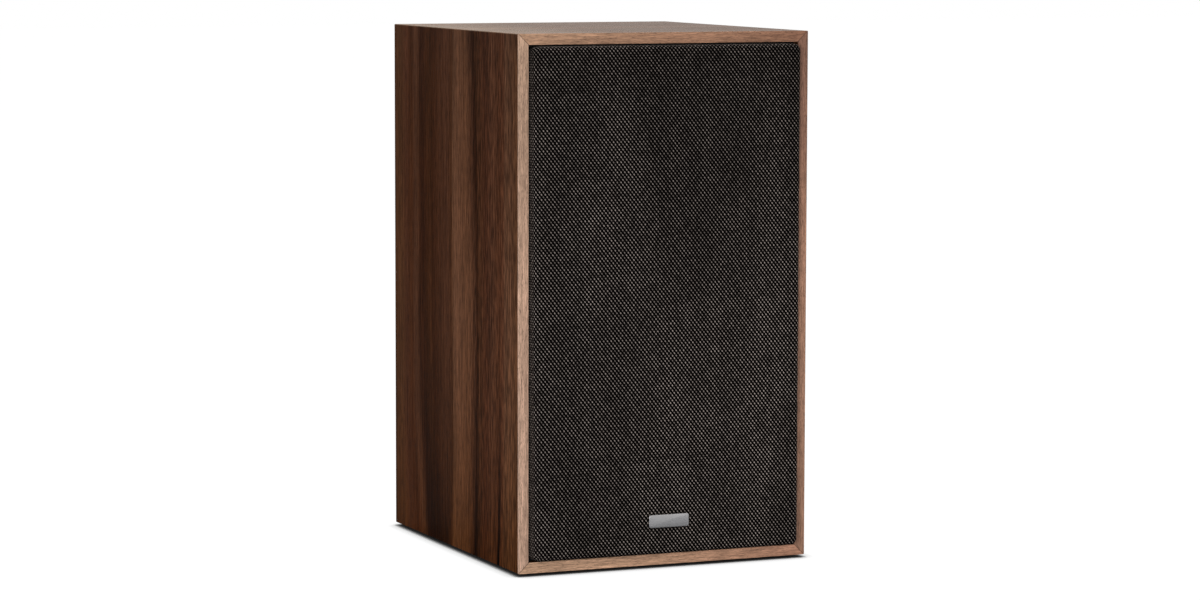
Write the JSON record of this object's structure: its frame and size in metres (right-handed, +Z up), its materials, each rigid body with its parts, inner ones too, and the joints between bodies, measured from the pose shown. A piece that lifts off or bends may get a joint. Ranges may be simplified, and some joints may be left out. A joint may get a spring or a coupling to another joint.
{
  "type": "bookshelf speaker",
  "caption": "Two-way bookshelf loudspeaker: walnut cabinet with mitred pale edging, pull-off cloth grille, woofer, dome tweeter, rear port and binding posts.",
  "frame": {"origin": "middle of the footprint from side to side and from the badge plate to the rear flange, at the level the pads rest on", "axes": "+X to the right seen from the front, +Y from the front to the back, +Z up"},
  "size_m": [0.218, 0.2574, 0.372],
  "materials": {
    "walnut_veneer": "dark walnut veneer with a satin lacquer",
    "pale_edging": "lighter veneer edging with a satin lacquer",
    "black_board": "fibreboard under fine black lacquer",
    "bare_board": "bare fibreboard",
    "pad_rubber": "matt black rubber or foam",
    "black_plastic": "fine-grained black moulding",
    "speaker_cloth": "open woven black grille cloth with grey flecks",
    "satin_metal": "brushed and anodised, blank",
    "coated_steel": "pressed steel with a black powder coat",
    "black_screw": "black oxide",
    "zinc_steel": "zinc plated",
    "ferrite": "ground ferrite",
    "terminal_brass": "gold flash over brass",
    "surround_rubber": "smooth soft rubber",
    "spider_cloth": "doped cloth",
    "copper": "enamelled copper wire",
    "cone_paper": "filled polymer cone with a fine texture",
    "former_foil": "rolled foil",
    "red_plastic": "gloss moulding",
    "jet_plastic": "gloss moulding",
    "circuit_board": "glass-fibre board under solder mask",
    "nylon": "natural nylon",
    "film_sleeve": "shrunk film sleeve",
    "cement": "cement block",
    "wire_jacket": "soft vinyl jacket",
    "wadding": "loose polyester wadding"
  },
  "bodies": {
    "cabinet": {"left_side_panel": "walnut_veneer", "right_side_panel": "walnut_veneer", "top_panel": "walnut_veneer", "bottom_panel": "walnut_veneer", "rear_panel": "black_board", "front_baffle": "black_board", "brace_panel": "bare_board", "front_edging_left": "pale_edging", "front_edging_right": "pale_edging", "front_edging_top": "pale_edging", "front_edging_bottom": "pale_edging", "rubber_feet": "pad_rubber", "grille_sockets": "pad_rubber", "woofer_basket": "coated_steel", "woofer_gasket": "pad_rubber", "woofer_screws": "black_screw", "woofer_top_plate": "zinc_steel", "woofer_magnet": "ferrite", "woofer_yoke": "zinc_steel", "woofer_terminals": "terminal_brass", "woofer_surround": "surround_rubber", "woofer_spider": "spider_cloth", "woofer_tinsel_leads": "copper", "tweeter_faceplate": "black_plastic", "tweeter_gasket": "pad_rubber", "tweeter_screws": "black_screw", "tweeter_top_plate": "zinc_steel", "tweeter_magnet": "ferrite", "tweeter_yoke": "zinc_steel", "tweeter_terminals": "terminal_brass", "tweeter_surround": "spider_cloth", "port_tube": "black_plastic", "terminal_cup": "black_plastic", "terminal_gasket": "pad_rubber", "terminal_screws": "black_screw", "post_studs": "terminal_brass", "post_nuts": "zinc_steel", "solder_lugs": "terminal_brass", "crossover_board": "circuit_board", "crossover_spacers": "nylon", "crossover_screws": "zinc_steel", "crossover_inductors": "copper", "crossover_capacitors": "film_sleeve", "crossover_resistors": "cement", "internal_wires": "wire_jacket", "damping_wadding": "wadding"},
    "grille": {"grille_frame": "black_plastic", "grille_cloth": "speaker_cloth", "grille_pegs": "black_plastic", "badge_plate": "satin_metal"},
    "woofer_diaphragm": {"woofer_cone": "cone_paper", "woofer_dust_cap": "cone_paper", "woofer_former": "former_foil", "woofer_voice_coil": "copper"},
    "tweeter_diaphragm": {"tweeter_dome": "spider_cloth", "tweeter_voice_coil": "copper"},
    "red_collar": {"red_post_collar": "red_plastic"},
    "red_knob": {"red_post_knob": "red_plastic"},
    "black_collar": {"black_post_collar": "jet_plastic"},
    "black_knob": {"black_post_knob": "jet_plastic"}
  },
  "joints": [
    {"name": "grille_pull", "type": "slide", "parent": "cabinet", "child": "grille", "axis": [0, -1, 0], "range_m": [0, 0.06]},
    {"name": "woofer_travel", "type": "slide", "parent": "cabinet", "child": "woofer_diaphragm", "axis": [0, -1, 0], "range_m": [-0.005, 0.005], "stiffness_N_per_m": 1000, "deforming": ["woofer_surround", "woofer_spider", "woofer_tinsel_leads"]},
    {"name": "tweeter_travel", "type": "slide", "parent": "cabinet", "child": "tweeter_diaphragm", "axis": [0, -1, 0], "range_m": [-0.0005, 0.0005], "stiffness_N_per_m": 300, "deforming": ["tweeter_surround"]},
    {"name": "red_collar_slide", "type": "slide", "parent": "cabinet", "child": "red_collar", "axis": [0, 1, 0], "range_m": [0, 0.005]},
    {"name": "red_knob_turn", "type": "hinge", "parent": "red_collar", "child": "red_knob", "pos_m": [0.017, 0.1057, 0.1], "axis": [0, 1, 0], "range_deg": [0, 1800]},
    {"name": "black_collar_slide", "type": "slide", "parent": "cabinet", "child": "black_collar", "axis": [0, 1, 0], "range_m": [0, 0.005]},
    {"name": "black_knob_turn", "type": "hinge", "parent": "black_collar", "child": "black_knob", "pos_m": [-0.017, 0.1057, 0.1], "axis": [0, 1, 0], "range_deg": [0, 1800]}
  ],
  "couplings": [
    {"joint": "red_collar_slide", "follows": "red_knob_turn", "m_per_rad": 0.00015915},
    {"joint": "black_collar_slide", "follows": "black_knob_turn", "m_per_rad": 0.00015915}
  ]
}
